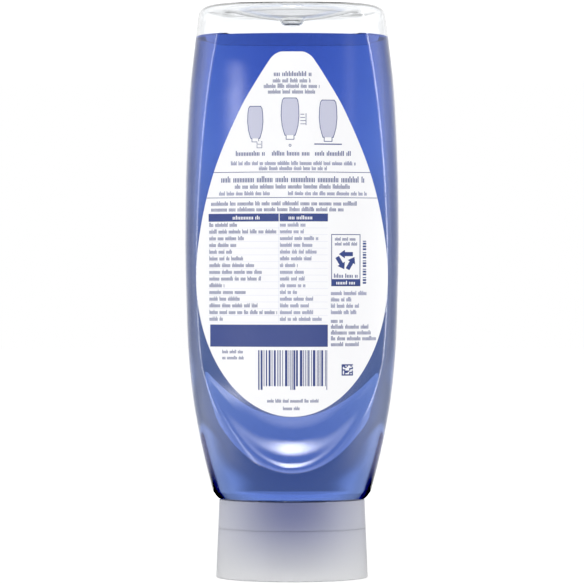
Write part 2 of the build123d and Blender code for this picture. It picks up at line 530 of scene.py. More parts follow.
@dataclass
class Panel:
    """Label panel: a leaning cylinder sunk into the body, with a ramp at its lower end, in millimetres."""

    radius: float = 106.0
    foot_height: float = 56.5
    foot_depth: float = 20.0
    lean: float = 0.058
    ramp: float = 0.2
    ramp_softness: float = 3.0
    crease_softness: float = 0.8

    def depth(self, x: float, z: float) -> float:
        """Distance of the panel's skin from the middle plane."""
        drop = self.radius - math.sqrt(max(self.radius**2 - x * x, 0.0))
        return self.foot_depth + self.lean * (z - self.foot_height) - drop

    def ledge(self, z: float) -> float:
        """Distance of the ramp from the middle plane."""
        return self.foot_depth + self.ramp * (self.foot_height - z)

    def clip(self, x: float, z: float, y: float, inset: float) -> float:
        """Pulls a point of the body back onto the panel or its ramp where it stands proud of both."""
        sunk = smooth_most(self.depth(x, z), self.ledge(z), self.ramp_softness) - inset
        return smooth_least(y, sunk, self.crease_softness)


@dataclass
class BodyForm:
    """Form of the blown body in millimetres. Each station is height, half width, half depth and power.

    Points nearer the middle plane than the core's depth are never pulled back onto a panel.
    """

    top: float
    panel: Panel = field(default_factory=Panel)
    rim_radius: float = 3.5
    shoulder_height: float = 33.2
    mouth_radius: float = 11.4
    core_depth: float = 8.0
    least_radius: float = 0.05
    sides: tuple[tuple[float, float, float, float], ...] = (
        (227.0, 40.1, 31.2, 2.9),
        (205.0, 42.5, 30.2, 2.9),
        (175.0, 44.1, 28.8, 2.9),
        (143.5, 44.65, 27.2, 2.9),
        (120.0, 44.3, 26.0, 2.85),
        (95.0, 43.4, 24.9, 2.65),
        (75.0, 41.4, 23.8, 2.4),
        (60.0, 38.8, 22.9, 2.25),
        (47.0, 35.9, 22.0, 2.15),
        (36.2, 33.1, 20.6, 2.05),
    )
    rim: tuple[float, float, float] = (39.1, 31.4, 2.9)

    def base_run(self) -> list[list[float]]:
        """Stations of the pushed-up base, from the gate's nub out to the rim."""
        top = self.top
        nub = [(top - 6.1, 1.0, 1.0, 2.0), (top - 6.1, 3.2, 3.2, 2.0), (top - 5.5, 4.0, 4.0, 2.0)]
        nub += [(top - 4.1, 4.9, 4.8, 2.0), (top - 3.7, 6.4, 5.6, 2.0)]
        dish = [(top - 3.3, 10.5, 7.6, 2.0), (top - 2.4, 16.0, 11.2, 2.0), (top - 1.3, 21.6, 15.4, 2.0)]
        edge = [(top - 0.4, 25.4, 18.2, 2.05), (top, 28.4, 20.9, 2.2)]
        return curve_through(nub, 14) + curve_through([nub[-1], *dish, *edge], 26)[1:]

    def rim_run(self) -> list[list[float]]:
        """Stations over the rim and round its outer edge."""
        a, b, n = self.rim
        r = self.rim_radius
        flat = [(self.top, 28.4, 20.9, 2.2), (self.top, 32.0, 24.6, 2.6), (self.top, a - r, b - r, n)]
        arc = []
        for step in range(1, 9):
            angle = math.pi / 2 * step / 8
            pull = r * (1 - math.sin(angle))
            arc.append([self.top - r * (1 - math.cos(angle)), a - pull, b - pull, n])
        return curve_through(flat, 8)[1:] + arc

    def side_run(self, steps: int) -> list[list[float]]:
        """Stations down the sides.

        Args:
            steps: How many.

        Returns:
            The stations, from under the rim to the shoulder's edge.
        """
        a, b, n = self.rim
        return curve_through([(self.top - self.rim_radius, a, b, n), *self.sides], steps)

    def shoulder_run(self, end_radius: float) -> list[list[float]]:
        """Stations round under the shoulder and in to the neck.

        Args:
            end_radius: Radius at which the shoulder's floor ends.

        Returns:
            The stations, from under the shoulder's edge inwards.
        """
        z = self.shoulder_height
        edge = [self.sides[-1], (z + 0.35, 31.0, 18.95, 2.0), (z, 30.3, 18.4, 2.0)]
        floor = [(z, 30.3, 18.4, 2.0), (z, 22.0, 16.0, 2.0), (z, end_radius, end_radius, 2.0)]
        return curve_through(edge, 8)[1:] + curve_through(floor, 8)[1:]

    def point(self, station: Station, angle: float, inset: float) -> Vector:
        """Finds a point of the body's skin.

        Args:
            station: Height, half width, half depth and power.
            angle: Angle about the Z axis, in radians.
            inset: How far the skin is moved inwards, in millimetres.

        Returns:
            The point, in metres.
        """
        z, a, b, n = station
        c, s = math.cos(angle), math.sin(angle)
        reach = (abs(c) ** n + abs(s) ** n) ** (-1 / n)
        x = max(a - inset, self.least_radius) * reach * c
        y = max(b - inset, self.least_radius) * reach * s
        if abs(y) > self.core_depth:
            y = math.copysign(self.panel.clip(x, z, abs(y), inset), y)
        return Vector((x, y, min(z, self.top))) * MM


def wrap_sphere(
    name: str, stations: Sequence[Station], place: Callable[[Station, float], Vector], segments: int
) -> bpy.types.Object:
    """Shapes a sphere primitive into a closed skin, ring by ring.

    Args:
        name: Name of the piece.
        stations: One station for each ring, from the top pole to the bottom pole.
        place: Gives the point of a station at an angle.
        segments: Points round each ring.

    Returns:
        The skin, with a pole at the middle of its first and its last ring.
    """
    start_fresh()
    rings = len(stations) + 1
    bpy.ops.mesh.primitive_uv_sphere_add(segments=segments, ring_count=rings, radius=1.0)
    skin = bpy.context.object
    skin.name = name
    for vertex in skin.data.vertices:
        x, y, z = vertex.co
        ring = round(math.acos(max(-1.0, min(1.0, z))) * rings / math.pi)
        if ring in (0, rings):
            station = stations[0 if ring == 0 else -1]
            edge = place(station, 0.0)
            vertex.co = (0.0, 0.0, edge.z)
        else:
            segment = round(math.atan2(y, x) * segments / (2 * math.pi))
            vertex.co = place(stations[ring - 1], 2 * math.pi * segment / segments)
    skin.data.update()
    return skin


def lathe(name: str, profile: Sequence[Point], steps: int) -> bpy.types.Object:
    """Turns a closed profile about the Z axis.

    Args:
        name: Name of the piece.
        profile: Its corners as radius and height, in millimetres.
        steps: Steps round the axis.

    Returns:
        The turned piece.
    """
    start_fresh()
    bpy.ops.mesh.primitive_circle_add(vertices=len(profile), radius=1.0)
    piece = bpy.context.object
    for vertex, (radius, height) in zip(piece.data.vertices, profile):
        vertex.co = (radius * MM, 0.0, height * MM)
    turn = piece.modifiers.new("turn", "SCREW")
    turn.steps = turn.render_steps = steps
    turn.use_merge_vertices = True
    turn.merge_threshold = 1e-6
    piece.name = name
    apply_modifiers(piece)
    face_outwards(piece)
    return piece


# ------------------------------------------------------------------------------------------------- Bottle


@dataclass
class Neck:
    """Neck under the shoulder: tube, flange and a two-start thread. Sizes in millimetres."""

    mouth: float
    shoulder: float = 33.2
    outer: float = 12.7
    bore: float = 10.85
    flange: float = 14.6
    flange_high: float = 32.7
    flange_low: float = 31.7
    lead: float = 6.0
    turns: float = 0.9
    starts: int = 2
    depth: float = 1.2
    bite: float = 0.3
    half_root: float = 0.8
    half_crest: float = 0.35
    run_in: float = 1.6
    lip: float = 0.3
    root: float = 0.3
    tube_steps: int = 96
    thread_steps: int = 80

    def build(self) -> list[bpy.types.Object]:
        """Builds the tube with its flange, and each thread."""
        lip, top = self.lip, self.shoulder + self.root
        profile = [
            (self.bore, self.mouth + lip),
            (self.bore + lip, self.mouth),
            (self.outer - lip, self.mouth),
            (self.outer, self.mouth + lip),
            (self.outer, self.flange_low),
            (self.flange, self.flange_low),
            (self.flange, self.flange_high),
            (self.outer, self.flange_high),
            (self.outer, top),
            (self.bore, top),
        ]
        pieces = [lathe("neck_tube", profile, self.tube_steps)]
        pieces += [self.thread(360.0 * start / self.starts) for start in range(self.starts)]
        return pieces

    def thread(self, turn: float) -> bpy.types.Object:
        """Makes one helical rib.

        Args:
            turn: The angle at which it starts, in degrees.

        Returns:
            The rib, closed at both ends.
        """
        start_fresh()
        bpy.ops.mesh.primitive_circle_add(vertices=4, radius=1.0, fill_type="NGON")
        rib = bpy.context.object
        low = self.mouth + self.run_in
        root, crest = self.half_root, self.half_crest
        corners = ((-self.bite, -root), (self.depth, -crest), (self.depth, crest), (-self.bite, root))
        for vertex, (out, up) in zip(rib.data.vertices, corners):
            vertex.co = ((self.outer + out) * MM, 0.0, (low + up) * MM)
        helix = rib.modifiers.new("helix", "SCREW")
        helix.angle = 2 * math.pi * self.turns
        helix.screw_offset = self.lead * self.turns * MM
        helix.steps = helix.render_steps = self.thread_steps
        apply_modifiers(rib)
        edit_all(rib, lambda: bpy.ops.mesh.fill_holes(sides=4))
        rib.rotation_euler.z = math.radians(turn)
        bpy.ops.object.transform_apply(location=False, rotation=True, scale=False)
        face_outwards(rib)
        return rib


@dataclass
class Shell:
    """Clear blown bottle: body, base, shoulder and neck."""

    form: BodyForm
    neck: Neck
    wet_height: float
    wall: float = 0.6
    segments: int = 176
    side_rings: int = 172

    def stations(self) -> list[list[float]]:
        """All stations from the gate's nub to the neck, one of them at the liquid's edge."""
        sides = self.form.side_run(self.side_rings)[1:]
        nearest = min(sides, key=lambda station: abs(station[0] - self.wet_height))
        nearest[0] = self.wet_height
        shoulder = self.form.shoulder_run(self.form.mouth_radius)
        return self.form.base_run() + self.form.rim_run() + sides + shoulder

    def wet(self, shell: bpy.types.Object, outer_faces: int, finish: bpy.types.Material) -> None:
        """Gives the inner skin its finish for contact with the liquid, up to the liquid's edge.

        Args:
            shell: The shell, whose outer faces come before its inner ones.
            outer_faces: How many outer faces it has.
            finish: The finish for contact.
        """
        shell.data.materials.append(finish)
        for face in shell.data.polygons[outer_faces : 2 * outer_faces]:
            if face.center.z < self.wet_height * MM:
                face.material_index = 1

    def build(self, finish: bpy.types.Material, wetted: bpy.types.Material) -> bpy.types.Object:
        """Builds the shell with its wall thickness and joins the neck to it.

        Args:
            finish: The finish of the plastic in air.
            wetted: The finish of its inner skin where the liquid lies on it.

        Returns:
            The bottle.
        """

        def place(station: Station, angle: float) -> Vector:
            """Point of the outer skin."""
            return self.form.point(station, angle, 0.0)

        shell = wrap_sphere("bottle_shell", self.stations(), place, self.segments)
        bpy.ops.object.mode_set(mode="EDIT")
        bpy.ops.mesh.select_all(action="DESELECT")
        bpy.ops.object.mode_set(mode="OBJECT")
        lowest = min(shell.data.vertices, key=lambda vertex: (round(vertex.co.z, 6), vertex.co.xy.length))
        lowest.select = True
        bpy.ops.object.mode_set(mode="EDIT")
        bpy.ops.mesh.delete(type="VERT")
        bpy.ops.object.mode_set(mode="OBJECT")
        outer_faces = len(shell.data.polygons)
        thick = shell.modifiers.new("wall", "SOLIDIFY")
        thick.thickness = self.wall * MM
        thick.offset = -1.0
        apply_modifiers(shell)
        finish_mesh(shell, "bottle_shell", finish)
        self.wet(shell, outer_faces, wetted)
        neck_parts = self.neck.build()
        for part in neck_parts:
            finish_mesh(part, part.name, finish)
        pick(*neck_parts, shell)
        bpy.ops.object.join()
        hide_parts("bottle")
        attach(shell, Body.BOTTLE.value)
        return shell


@dataclass
class Liquid:
    """The soap inside: its skin lies a little inside the shell's wall, so that the two meet without air."""

    form: BodyForm
    level: float
    wall: float = 0.6
    overlap: float = 0.12
    meniscus: float = 0.5
    neck_radius: float = 10.9
    neck_low: float = 24.4
    pipe_radius: float = 8.3
    pipe_low: float = 12.9
    least_gap: float = 0.3
    lift_below: float = 34.5
    segments: int = 176
    rings: int = 168

    @property
    def inset(self) -> float:
        """How far its skin lies inside the body's outer skin."""
        return self.wall - self.overlap

    @property
    def edge_height(self) -> float:
        """Height of the surface's edge, where it climbs the wall."""
        return self.level + self.meniscus

    def stations(self) -> list[list[float]]:
        """Stations from the middle of the surface down to the end of the pipe."""
        sides = self.form.side_run(self.rings)
        sides = [station for station in sides if station[0] < self.level - self.least_gap]
        a, b, n = sides[0][1:]
        top = [[self.level, a * share, b * share, n] for share in (0.2, 0.4, 0.6, 0.75, 0.86, 0.93)]
        top.append([self.level + 0.12 * self.meniscus, a * 0.965, b * 0.965, n])
        top.append([self.edge_height, a, b, n])
        inset = self.inset
        shoulder = self.form.shoulder_run(self.neck_radius)
        shoulder = [[z + inset * (z < self.lift_below), a, b, n] for z, a, b, n in shoulder]
        r, p = self.neck_radius + inset, self.pipe_radius + inset
        column = [[z, r, r, 2.0] for z in (33.0, 31.0, 28.0, self.neck_low + 0.3, self.neck_low)]
        pipe = [[z, p, p, 2.0] for z in (self.neck_low, 20.0, 16.0, self.pipe_low)]
        end = [[self.pipe_low, p * 0.5, p * 0.5, 2.0]]
        return top + sides + shoulder + column + pipe + end

    def build(self, finish: bpy.types.Material) -> bpy.types.Object:
        """Builds the liquid as one closed skin.

        Args:
            finish: The liquid's finish.

        Returns:
            The liquid.
        """

        def place(station: Station, angle: float) -> Vector:
            """Point of the liquid's skin."""
            return self.form.point(station, angle, self.inset)

        liquid = wrap_sphere("soap_liquid", self.stations(), place, self.segments)
        finish_mesh(liquid, "soap_liquid", finish)
        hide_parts("dish_liquid")
        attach(liquid, Body.BOTTLE.value)
        return liquid


# ------------------------------------------------------------------------------------------------- Labels


@dataclass
class Oval:
    """Oval outline of a label, in millimetres."""

    top: float = 194.0
    bottom: float = 86.0
    half_width: float = 25.5

    @property
    def widest(self) -> float:
        """Height of its middle."""
        return (self.top + self.bottom) / 2

    def reach(self, z: float) -> float:
        """Half width at a height."""
        share = (z - self.widest) / (self.top - self.widest)
        return self.half_width * math.sqrt(max(1 - share * share, 0.0))


@dataclass
class Egg:
    """Egg outline of a label: flat top with round corners, half-elliptical lower end, in millimetres."""

    top: float = 217.5
    top_corner: float = 3.0
    widest: float = 125.2
    half_width: float = 39.5
    bottom: float = 68.2
    flank: tuple[Point, ...] = (
        (125.2, 39.5),
        (147.0, 37.4),
        (170.0, 31.6),
        (194.0, 21.4),
        (208.0, 13.2),
        (217.5, 6.9),
    )
    flank_line: list[Point] = field(init=False, default_factory=list)

    def __post_init__(self) -> None:
        """Works out the flank as a fine polyline of heights and half widths."""
        before = (2 * self.widest - self.flank[1][0], self.flank[1][1])
        points = [(z, width, 0.0) for z, width in (before, *self.flank)]
        self.flank_line = [(z, width) for z, width, _ in curve_through(points, 240)]

    def reach(self, z: float) -> float:
        """Half width at a height.

        Args:
            z: The height in millimetres.

        Returns:
            The half width, nothing above and below the label.
        """
        if z <= self.bottom or z >= self.top:
            return 0.0
        if z < self.widest:
            share = (self.widest - z) / (self.widest - self.bottom)
            return self.half_width * math.sqrt(max(1 - share * share, 0.0))
        for (z0, w0), (z1, w1) in zip(self.flank_line, self.flank_line[1:]):
            if z0 <= z <= z1:
                width = w0 + (w1 - w0) * (z - z0) / (z1 - z0)
                break
        left = self.top_corner - (self.top - z)
        if left > 0:
            width -= self.top_corner - math.sqrt(self.top_corner**2 - left**2)
        return width


@dataclass
class LabelFilm:
    """White film stuck to a panel. Its ends are as wide as the outline is a tip's length in from them."""

    form: BodyForm
    side: Side
    outline: Egg | Oval
    glue: float = 0.02
    thickness: float = 0.1
    columns: int = 56
    rows: int = 150
    low_tip: float = 0.002
    high_tip: float = 0.0005

    def on_panel(self, x: float, z: float, lift: float) -> Vector:
        """Point over the panel at a lift in millimetres, in metres."""
        return Vector((x, self.side.value * (self.form.panel.depth(x, z) + lift), z)) * MM

    def build(self, node: str, slot: str, looks: Materials) -> bpy.types.Object:
        """Builds the film from a grid, shaped to its outline and laid on the panel.

        Args:
            node: The CAD node that it takes the place of.
            slot: Not used.
            looks: The object's materials.

        Returns:
            The film.
        """
        start_fresh()
        bpy.ops.mesh.primitive_grid_add(x_subdivisions=self.columns, y_subdivisions=self.rows, size=2.0)
        film = bpy.context.object
        outline = self.outline
        for vertex in film.data.vertices:
            across, up = vertex.co.x, vertex.co.y
            share = 0.5 - 0.5 * math.cos(math.pi * (up + 1) / 2)
            z = outline.bottom + (outline.top - outline.bottom) * share
            width = outline.reach(min(max(z, outline.bottom + self.low_tip), outline.top - self.high_tip))
            vertex.co = self.on_panel(across * width, z, self.glue)
        thick = film.modifiers.new("film", "SOLIDIFY")
        thick.thickness = self.thickness * MM
        thick.offset = 1.0 if self.side is Side.BACK else -1.0
        apply_modifiers(film)
        face_outwards(film)
        finish_mesh(film, f"{node}_film", looks[Look.FILM], 60.0)
        # The faces against the bottle get the inner side's finish, which glows with painted light.
        film.data.materials.append(looks[Look.FILM_BACK])
        for face in film.data.polygons:
            if face.normal.y * self.side.value < -0.5:
                face.material_index = 1
        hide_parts(node)
        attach(film, Body.BOTTLE.value)
        return film


class Ink:
    """One ink on a label: flat patches that follow the panel, gathered into one piece.

    Attributes:
        STRIP_STEP: Longest stretch between the corners of a strip, in millimetres.
        BAND_STEP: The same for a band.
        OVAL_STEPS: How many patches fill an oval.
    """

    STRIP_STEP = 1.5
    BAND_STEP = 1.2
    OVAL_STEPS = 24

    def __init__(self, film: LabelFilm, lift: float, seed: int) -> None:
        """Starts an empty layer.

        Args:
            film: The film that it is printed on.
            lift: How far it lies over the panel, in millimetres.
            seed: Seed of its random draws.
        """
        self.film = film
        self.lift = lift
        self.mesh = bmesh.new()
        self.chance = random.Random(seed)

    def corner(self, place: Point) -> bmesh.types.BMVert:
        """Adds a corner over the panel."""
        return self.mesh.verts.new(self.film.on_panel(*place, self.lift))

    def face(self, corners: Sequence[bmesh.types.BMVert]) -> None:
        """Adds a face from its corners, counterclockwise as seen on the back label."""
        self.mesh.faces.new(corners if self.film.side is Side.BACK else reversed(corners))

    def strip(self, x0: float, x1: float, low: Curve, high: Curve) -> None:
        """Fills the space between two curves.

        Args:
            x0: Where it starts.
            x1: Where it ends.
            low: Height of the lower curve at a place.
            high: Height of the upper curve at a place.
        """
        count = max(1, math.ceil((x1 - x0) / self.STRIP_STEP))
        before = None
        for index in range(count + 1):
            x = x0 + (x1 - x0) * index / count
            bottom, top = low(x), high(x)
            if top - bottom < 1e-6:
                before = None
                continue
            pair = [self.corner((x, bottom)), self.corner((x, top))]
            if before:
                self.face([before[0], pair[0], pair[1], before[1]])
            before = pair

    def box(self, x0: float, x1: float, z0: float, z1: float) -> None:
        """Fills a rectangle."""
        self.strip(x0, x1, lambda _: z0, lambda _: z1)

    def frame(self, x0: float, x1: float, z0: float, z1: float, line: float) -> None:
        """Draws a rectangle's outline.

        Args:
            x0: Its left edge.
            x1: Its right edge.
            z0: Its lower edge.
            z1: Its upper edge.
            line: Width of the line, inside those edges.
        """
        self.box(x0, x1, z0, z0 + line)
        self.box(x0, x1, z1 - line, z1)
        self.box(x0, x0 + line, z0 + line, z1 - line)
        self.box(x1 - line, x1, z0 + line, z1 - line)

    def oval(self, x: float, z: float, a: float, b: float, power: float = 2.0) -> None:
        """Fills an oval.

        Args:
            x: Its middle.
            z: Height of its middle.
            a: Its half width.
            b: Its half height.
            power: How square it is: 2 is an ellipse.
        """

        def half(at: float) -> float:
            """Half height at a place."""
            return b * max(1 - min(abs((at - x) / a), 1.0) ** power, 0.0) ** (1 / power)

        count = self.OVAL_STEPS
        edges = [x - a * math.cos(math.pi * index / count) for index in range(count + 1)]
        for left, right in zip(edges, edges[1:]):
            heights = [(half(left), left), (half(right), right)]
            corners = [(left, z - heights[0][0]), (right, z - heights[1][0])]
            corners += [(right, z + heights[1][0]), (left, z + heights[0][0])]
            self.polygon(corners)

    def band(self, x: float, low: tuple[float, float], high: tuple[float, float]) -> None:
        """Fills the space between two level edges.

        Args:
            x: The middle of both.
            low: Height and half width of the lower edge.
            high: Height and half width of the upper edge.
        """
        count = max(1, math.ceil(2 * max(low[1], high[1]) / self.BAND_STEP))
        for index in range(count):
            shares = (2 * index / count - 1, 2 * (index + 1) / count - 1)
            corners = [(x + low[1] * share, low[0]) for share in shares]
            corners += [(x + high[1] * share, high[0]) for share in reversed(shares)]
            self.polygon(corners)

    def polygon(self, corners: Sequence[Point]) -> None:
        """Fills a small polygon.

        Args:
            corners: Its corners, counterclockwise as seen on the back label. Neighbours that meet count as one.
        """
        kept: list[Point] = []
        for corner in corners:
            if not kept or math.dist(corner, kept[-1]) > 1e-5:
                kept.append(corner)
        verts = [self.corner(place) for place in kept]
        if len(verts) > 2:
            self.face(verts)

    def greeked(self, x0: float, x1: float, z: float, height: float, weight: Weight) -> None:
        """Fills a row with short runs of plain upright strokes: the tone of small print, with no letters.

        Args:
            x0: Where the row starts.
            x1: Where it ends.
            z: Height of its middle.
            height: Height of the tallest strokes.
            weight: How heavy it is.
        """
        width = weight.value
        gap = width * 0.75
        x = x0
        while x < x1 - width:
            for _ in range(self.chance.randint(4, 15)):
                if x > x1 - width:
                    break
                tall = height * self.chance.choice((0.7, 0.7, 0.7, 0.7, 1.0))
                self.box(x, x + width, z - height / 2, z - height / 2 + tall)
                x += width + gap
            x += height * 0.4

    def build(self, name: str, finish: bpy.types.Material, slot: str) -> bpy.types.Object:
        """Makes the layer's piece.

        Args:
            name: Name of the piece.
            finish: Its finish.
            slot: Not used.

        Returns:
            The piece.
        """
        data = bpy.data.meshes.new(name)
        self.mesh.to_mesh(data)
        self.mesh.free()
        piece = bpy.data.objects.new(name, data)
        bpy.context.scene.collection.objects.link(piece)
        finish_mesh(piece, name, finish)
        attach(piece, Body.BOTTLE.value)
        return piece


@dataclass
class BackPrint:
    """Print of the back label, with its words greeked. Sizes in millimetres from the label's middle line."""

    film: LabelFilm

    def text(self, dark: Ink, light: Ink) -> None:
        """Rows of greeked text: start, end, height of the row, stroke height and weight.

        Args:
            dark: The dark ink.
            light: The lighter ink.
        """
        dark.greeked(-7.4, 8.2, 208.5, 2.0, Weight.BOLD)
        for x0, x1, z in ((-7.8, 7.8, 205.8), (-11.5, 11.5, 203.6), (-9.8, 9.8, 201.3)):
            dark.greeked(x0, x1, z, 1.8, Weight.LIGHT)
        for x0, x1 in ((-23.0, -10.7), (-8.2, 7.4), (9.4, 24.6)):
            dark.greeked(x0, x1, 176.2, 2.0, Weight.BOLD)
        rows = ((-25.0, 26.2, 172.2), (-13.5, 14.3, 170.1), (-29.9, -9.0, 159.9), (-1.6, 30.7, 159.9))
        for x0, x1, z in rows:
            light.greeked(x0, x1, z, 1.7, Weight.LIGHT)
        dark.greeked(-29.0, 30.0, 165.6, 2.5, Weight.BOLD)
        dark.greeked(-23.4, 24.2, 162.7, 1.9, Weight.PLAIN)
        dark.greeked(-33.2, 27.0, 155.8, 1.8, Weight.PLAIN)
        dark.greeked(-33.2, 21.3, 153.4, 1.8, Weight.PLAIN)
        for x1, z in ((31.0, 119.1), (24.5, 116.5), (27.5, 113.9), (26.5, 111.3)):
            light.greeked(16.0, x1, z, 1.8, Weight.LIGHT)
        for x1, z in ((21.0, 107.7), (31.5, 105.3), (33.0, 102.9), (34.5, 100.5), (28.4, 98.1)):
            dark.greeked(16.0, x1, z, 1.8, Weight.PLAIN)
        for x0, x1, z in ((-28.7, -20.0, 95.0), (-28.7, -19.3, 92.5), (-10.2, 11.1, 74.8), (-3.7, 3.3, 71.7)):
            dark.greeked(x0, x1, z, 1.5, Weight.LIGHT)

    def rules(self, dark: Ink) -> None:
        """Two thin rules across the label.

        Args:
            dark: The dark ink.
        """
        for z in (168.4, 158.0):
            reach = self.film.outline.reach(z) - 0.05
            dark.box(-reach, reach, z, z + 0.25)

    def table(self, dark: Ink, light: Ink, pale: Ink, white: Ink) -> None:
        """Table of fifteen rows under a dark heading, and the dark block below it.

        Args:
            dark: The dark ink.
            light: The lighter ink.
            pale: The palest ink.
            white: White, laid over the dark ink.
        """
        left, middle, right = -34.3, -5.4, 14.7
        dark.box(left, right, 148.4, 151.6)
        white.greeked(left + 10.0, left + 21.0, 150.0, 1.6, Weight.BOLD)
        white.greeked(middle + 4.0, middle + 14.0, 150.0, 1.6, Weight.BOLD)
        white.box(middle, middle + 0.3, 148.4, 151.6)
        ends = (-22.0, -6.2, -19.5, -22.5, -24.5, -20.0, -15.5, -11.5)
        ends += (-12.5, -27.5, -19.0, -20.5, -14.0, -5.8, -28.5)
        uses = (5.5, 5.0, 11.0, 8.8, 11.0, 8.0, 2.6, 5.0, 5.5, 5.5, 2.0, 8.6, 7.0, 8.6, 12.6)
        for index, (end, use) in enumerate(zip(ends, uses)):
            z = 147.1 - 2.755 * index
            dark.greeked(left + 0.3, end, z, 1.75, Weight.LIGHT)
            light.greeked(middle + 0.5, use, z, 1.75, Weight.LIGHT)
            pale.box(left, right, z - 1.45, z - 1.3)
        pale.box(middle - 0.1, middle + 0.1, 107.3, 148.4)
        left_edge = -min(self.film.outline.reach(97.0), self.film.outline.reach(106.0)) + 0.6
        dark.strip(left_edge, right, lambda _: 97.0, lambda _: 106.1)

    def seal_box(self, dark: Ink, white: Ink) -> None:
        """Framed box with three broad arrows, a dark bar and a column of small blocks beside it.

        Args:
            dark: The dark ink.
            white: White, laid over the dark ink.
        """
        dark.frame(16.1, 28.1, 121.9, 143.2, 0.3)
        dark.greeked(17.6, 26.8, 141.3, 1.5, Weight.LIGHT)
        dark.greeked(17.6, 26.8, 139.3, 1.5, Weight.LIGHT)
        for turn in (90.0, 210.0, 330.0):
            self.arrow(dark, 22.1, 132.6, turn)
        dark.greeked(17.2, 27.2, 126.2, 1.7, Weight.BOLD)
        dark.box(16.1, 28.1, 121.9, 124.8)
        white.greeked(18.2, 26.2, 123.35, 1.5, Weight.BOLD)
        for z in (122.9 + 1.15 * step for step in range(16)):
            dark.box(29.1, 30.5, z, z + (0.75 if int(z * 7) % 3 else 0.4))

    def arrow(self, ink: Ink, x: float, z: float, turn: float) -> None:
        """A broad arrow, one of three round a middle.

        Args:
            ink: Its ink.
            x: The middle.
            z: Height of the middle.
            turn: Its angle about the middle, in degrees.
        """
        cos, sin = math.cos(math.radians(turn)), math.sin(math.radians(turn))

        def turned(points: Sequence[Point]) -> list[Point]:
            """Turns points about the middle."""
            return [(x + u * cos - v * sin, z + u * sin + v * cos) for u, v in points]

        ink.polygon(turned([(1.6, -2.9), (3.3, -2.9), (3.3, 0.4), (1.6, 0.4)]))
        ink.polygon(turned([(0.7, 0.4), (4.2, 0.4), (2.45, 2.9)]))

    def codes(self, dark: Ink) -> None:
        """Bars of uneven width and a small square of cells, which hold nothing.

        Args:
            dark: The dark ink.
        """
        x = -13.9
        guards = 0
        while x < 15.0:
            width = dark.chance.choice((0.3, 0.3, 0.55, 0.8, 1.05))
            low = 79.3 if guards < 2 or abs(x) < 1.0 or x > 14.0 else 80.8
            dark.box(x, min(x + width, 15.2), low, 95.6)
            x += width + dark.chance.choice((0.3, 0.45, 0.6, 0.75))
            guards += 1
        cells, size = 9, 0.52
        for row in range(cells):
            for column in range(cells):
                if row in (0, cells - 1) or column == 0 or dark.chance.random() < 0.5:
                    x0, z0 = 20.4 + size * column, 85.1 + size * row
                    dark.box(x0, x0 + size, z0, z0 + size)

    def pictograms(self, dark: Ink, grey: Ink, white: Ink) -> None:
        """Three small bottles in a row, each over its cap, with small marks beside them.

        Args:
            dark: The dark ink.
            grey: The grey ink.
            white: White, laid over the others.
        """
        for x, z, size in ((-15.0, 188.2, 0.86), (-0.8, 190.4, 1.0), (14.75, 189.6, 1.0)):
            self.small_bottle(dark, x, z, size, 0.28)
            self.small_bottle(grey, x, z, size, 0.0)
            cap_z = z - 7.4 * size
            dark.box(x - 1.75 * size, x + 1.75 * size, cap_z - 1.3 * size, cap_z + 0.8 * size)
            white.box(x - 1.45 * size, x + 1.45 * size, cap_z - 1.02 * size, cap_z + 0.55 * size)
        dark.oval(-0.8, 179.4, 0.55, 0.55)
        white.oval(-0.8, 179.4, 0.3, 0.3)
        dark.box(9.1, 20.4, 179.7, 180.15)
        for lift in (0.0, 1.5):
            white.box(-14.2, -12.6, 178.6 + lift, 179.6 + lift)
            dark.frame(-14.4, -12.2, 178.3 + lift, 179.6 + lift, 0.2)
        for step in range(4):
            dark.box(3.4, 5.8 - 0.25 * step, 188.0 + 1.3 * step, 188.25 + 1.3 * step)
        dark.box(5.6, 5.85, 187.6, 192.4)

    def small_bottle(self, ink: Ink, x: float, z: float, size: float, grow: float) -> None:
        """Silhouette of a small bottle that stands on its cap.

        Args:
            ink: Its ink.
            x: Its middle.
            z: Height of its middle.
            size: Its scale.
            grow: How much larger it is all round.
        """
        rows = ((-6.8, 1.9), (-5.8, 2.35), (-3.0, 3.1), (1.0, 3.5), (5.0, 3.35), (7.4, 3.0), (8.1, 2.3))
        scaled = [(z + up * size, half * size) for up, half in rows]
        low, high = scaled[0][0] - grow, scaled[-1][0] + grow
        for (z0, w0), (z1, w1) in zip(scaled, scaled[1:]):
            z0 = low if z0 == scaled[0][0] else z0
            z1 = high if z1 == scaled[-1][0] else z1
            ink.band(x, (z0, w0 + grow), (z1, w1 + grow))

    def build(self, looks: Materials) -> None:
        """Builds the inks, the palest lowest.

        Args:
            looks: The object's materials.
        """
        pale = Ink(self.film, 0.135, 1)
        dark = Ink(self.film, 0.15, 2)
        light = Ink(self.film, 0.15, 3)
        grey = Ink(self.film, 0.165, 4)
        white = Ink(self.film, 0.18, 5)
        self.text(dark, light)
        self.rules(dark)
        self.table(dark, light, pale, white)
        self.seal_box(dark, white)
        self.codes(dark)
        self.pictograms(dark, grey, white)
        for ink, tone in ((pale, "pale"), (dark, "dark"), (light, "light"), (grey, "grey"), (white, "white")):
            ink.build(f"back_print_{tone}", looks[Look[f"{tone.upper()}_INK"]], "back_label_film")


